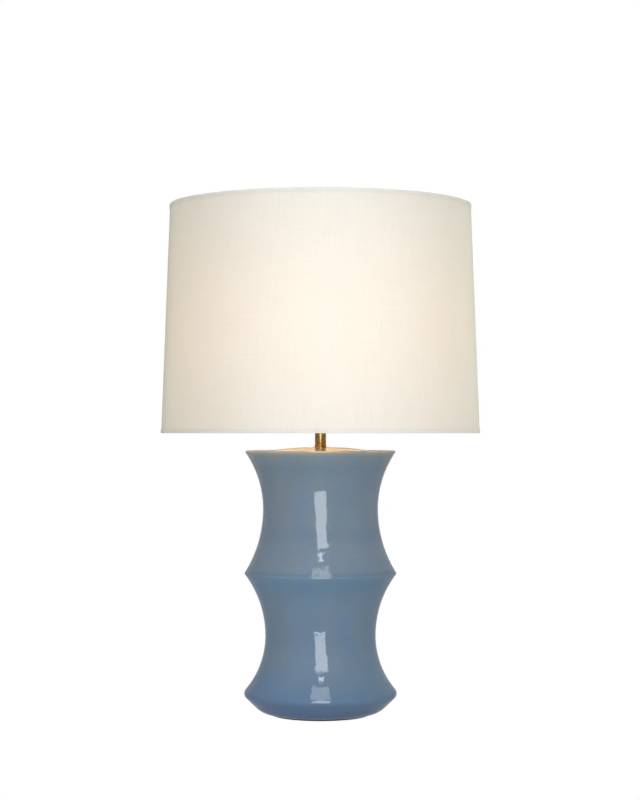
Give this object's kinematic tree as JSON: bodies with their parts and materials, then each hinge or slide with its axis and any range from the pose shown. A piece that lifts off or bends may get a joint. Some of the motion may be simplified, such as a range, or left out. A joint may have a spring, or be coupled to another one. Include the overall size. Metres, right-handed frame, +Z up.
{
  "type": "table lamp with shade",
  "caption": "Table lamp: glazed ceramic body of two waisted sections, short brass neck, turn-knob lampholder with bulb, and a harp carrying a tapered linen drum shade.",
  "frame": {"origin": "on the table, at the centre of the felt pad, under the lamp's axis", "axes": "+Z up along the lamp's axis; -Y is the front, where the switch knob points; +Y is the back, where the cord bush is; the harp lies in the XZ plane"},
  "size_m": [0.4064, 0.4064, 0.6617],
  "materials": {
    "glaze": "glossy slate-blue glaze with soft mottling",
    "felt": "dense wool felt",
    "bush": "soft grey rubber",
    "zinc_steel": "zinc plated",
    "neck_brass": "polished antique brass",
    "fitting_brass": "satin brass",
    "holder_brass": "spun brass, satin",
    "fibre": "pressed fibre paper",
    "phenolic": "moulded phenolic",
    "aluminium": "rolled sheet",
    "lead_sheath": "soft plastic sheath",
    "wire_dark": "plastic insulation",
    "wire_pale": "plastic insulation",
    "black_glass": "moulded black glass",
    "opal_glass": "frosted white, lit",
    "clear_glass": "clear",
    "filament": "drawn wire",
    "linen": "off-white woven linen",
    "styrene": "translucent white sheet",
    "white_wire": "white enamel",
    "linen_trim": "folded linen edge"
  },
  "bodies": {
    "root": {"ceramic_body": "glaze", "felt_pad": "felt", "cord_bush": "bush", "threaded_rod": "zinc_steel", "base_washer": "zinc_steel", "base_nut": "zinc_steel", "neck_collar": "neck_brass", "neck_tube": "neck_brass", "harp_saddle": "fitting_brass", "socket_cap": "holder_brass", "socket_shell": "holder_brass", "insulating_sleeve": "fibre", "socket_core": "phenolic", "screw_shell": "aluminium", "centre_contact": "fitting_brass", "terminal_screw_live": "fitting_brass", "terminal_screw_neutral": "zinc_steel", "inner_lead": "lead_sheath", "live_wire": "wire_dark", "neutral_wire": "wire_pale", "harp_bow": "fitting_brass", "harp_stud": "fitting_brass"},
    "switch": {"switch_stem": "fitting_brass", "switch_knob": "phenolic"},
    "bulb_contact": {"bulb_tip": "aluminium"},
    "bulb": {"bulb_insulator": "black_glass", "bulb_cap": "aluminium", "bulb_glass": "opal_glass", "bulb_stem": "clear_glass", "bulb_filament": "filament"},
    "sleeve_left": {"harp_sleeve_left": "fitting_brass"},
    "sleeve_right": {"harp_sleeve_right": "fitting_brass"},
    "shade": {"shade_linen": "linen", "shade_liner": "styrene", "top_ring": "white_wire", "bottom_ring": "white_wire", "bottom_trim": "linen_trim", "top_trim": "linen_trim", "spider_hub": "fitting_brass", "spider_arm_1": "white_wire", "spider_arm_2": "white_wire", "spider_arm_3": "white_wire"},
    "finial_seat": {"finial_washer": "fitting_brass"},
    "finial": {"finial": "neck_brass"}
  },
  "joints": [
    {"name": "switch_turn", "type": "hinge", "parent": "root", "child": "switch", "pos_m": [0, -0.02, 0.4133], "axis": [0, -1, 0], "continuous": true},
    {"name": "bulb_rise", "type": "slide", "parent": "root", "child": "bulb_contact", "axis": [0, 0, 1], "range_m": [0, 0.02519]},
    {"name": "bulb_turn", "type": "hinge", "parent": "bulb_contact", "child": "bulb", "pos_m": [0, 0, 0.45], "axis": [0, 0, 1], "range_deg": [0, 2520]},
    {"name": "left_sleeve_lift", "type": "slide", "parent": "root", "child": "sleeve_left", "axis": [0, 0, 1], "range_m": [0, 0.016]},
    {"name": "right_sleeve_lift", "type": "slide", "parent": "root", "child": "sleeve_right", "axis": [0, 0, 1], "range_m": [0, 0.016]},
    {"name": "shade_turn", "type": "hinge", "parent": "root", "child": "shade", "pos_m": [0, 0, 0.624], "axis": [0, 0, 1], "continuous": true},
    {"name": "finial_rise", "type": "slide", "parent": "root", "child": "finial_seat", "axis": [0, 0, 1], "range_m": [0, 0.01221]},
    {"name": "finial_turn", "type": "hinge", "parent": "finial_seat", "child": "finial", "pos_m": [0, 0, 0.64], "axis": [0, 0, 1], "range_deg": [0, 4680]}
  ],
  "couplings": [
    {"joint": "bulb_turn", "follows": "bulb_rise", "rad_per_m": 1745.3},
    {"joint": "finial_turn", "follows": "finial_rise", "rad_per_m": 6684.2}
  ]
}
